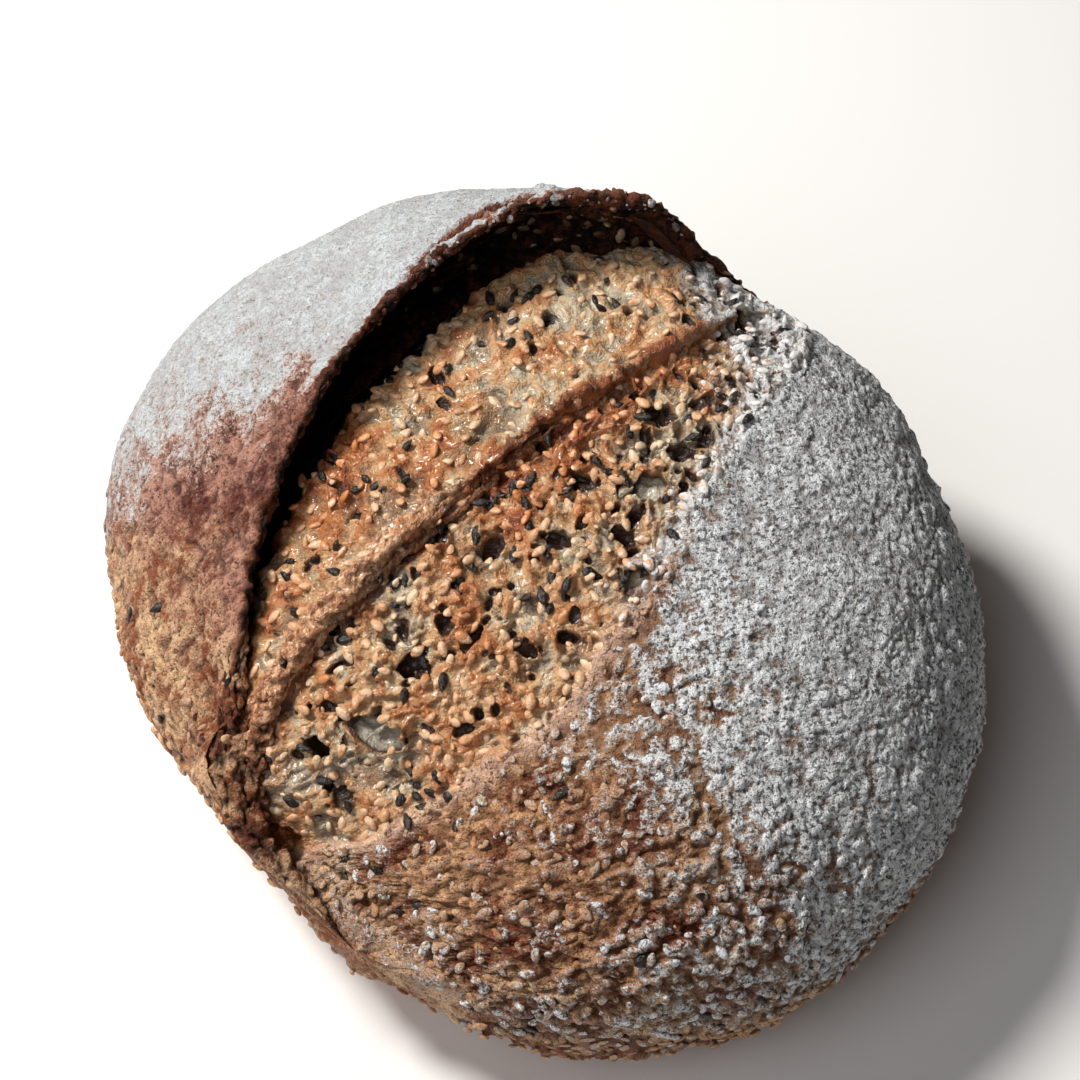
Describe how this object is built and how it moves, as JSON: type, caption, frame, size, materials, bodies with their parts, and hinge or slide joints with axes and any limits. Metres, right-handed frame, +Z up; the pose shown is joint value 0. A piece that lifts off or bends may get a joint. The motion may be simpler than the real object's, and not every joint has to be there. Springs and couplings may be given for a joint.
{
  "type": "seeded sourdough loaf",
  "caption": "Round rustic loaf with seeds in crust and crumb, burst open along one deep slash under a tall lifted ear of crust.",
  "frame": {"origin": "on the surface the loaf rests on, under the middle of its box", "axes": "+Z up, out of the crust; the slash runs level, 50 degrees from +X towards +Y, with the lifted ear on its -X side"},
  "size_m": [0.1702, 0.1658, 0.0923],
  "materials": {
    "loaf": "baked crust, brown under fine white flour, with toasted open crumb and sesame seeds in the slash"
  },
  "bodies": {
    "root": {"loaf": "loaf"}
  },
  "joints": []
}
